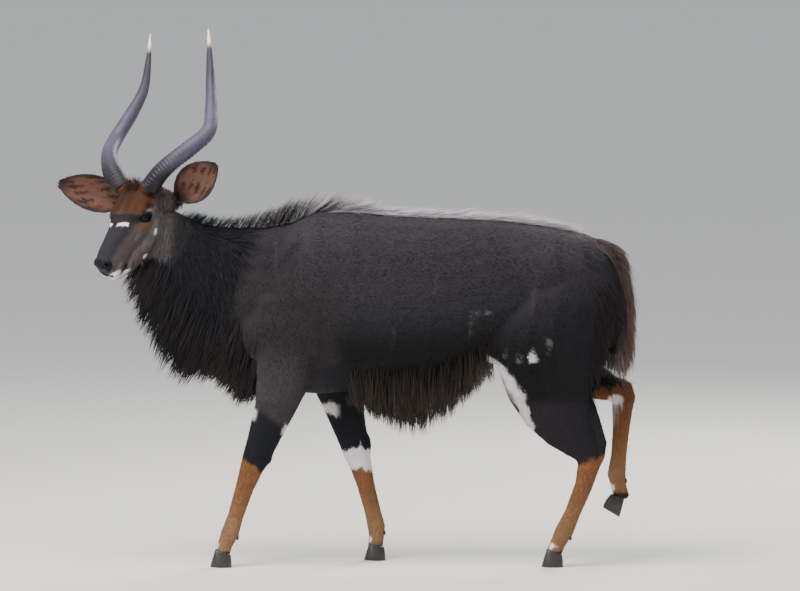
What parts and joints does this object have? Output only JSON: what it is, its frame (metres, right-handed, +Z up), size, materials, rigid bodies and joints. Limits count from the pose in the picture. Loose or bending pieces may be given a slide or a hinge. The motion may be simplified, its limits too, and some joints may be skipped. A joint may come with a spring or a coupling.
{
  "type": "nyala bull model",
  "caption": "Life-size still model of a nyala bull in mid stride, head turned to its left, with spiral horns, long throat and belly fringes and a bushy tail.",
  "frame": {"origin": "centre of the bounding box in X and Y, on the floor under the hooves", "axes": "+X towards the rump, -X the way the animal walks, -Y its left side, +Z up"},
  "size_m": [1.8174, 0.5088, 1.6697],
  "materials": {
    "head_coat": "short close fur",
    "neck_coat": "long shaggy hair",
    "body_coat": "short fur with long fringes",
    "leg_coat": "short close fur",
    "tail_hair": "long bushy hair",
    "ear_skin": "thin skin with short hair",
    "eye": "wet gloss",
    "horn_sheath": "satin ringed horn",
    "hoof_horn": "satin horn"
  },
  "bodies": {
    "root": {"head": "head_coat", "neck": "neck_coat", "torso": "body_coat", "tail": "tail_hair", "leg_fore_left_upper": "body_coat", "leg_fore_left_lower": "leg_coat", "leg_fore_right_upper": "body_coat", "leg_fore_right_lower": "leg_coat", "leg_hind_left_upper": "body_coat", "leg_hind_left_lower": "leg_coat", "leg_hind_right_upper": "body_coat", "leg_hind_right_lower": "leg_coat", "ear_left": "ear_skin", "ear_right": "ear_skin", "eye_left": "eye", "eye_right": "eye", "horn_left": "horn_sheath", "horn_right": "horn_sheath", "hoof_fore_left_near": "hoof_horn", "hoof_fore_left_far": "hoof_horn", "hoof_fore_right_near": "hoof_horn", "hoof_fore_right_far": "hoof_horn", "hoof_hind_left_near": "hoof_horn", "hoof_hind_left_far": "hoof_horn", "hoof_hind_right_near": "hoof_horn", "hoof_hind_right_far": "hoof_horn"}
  },
  "joints": []
}
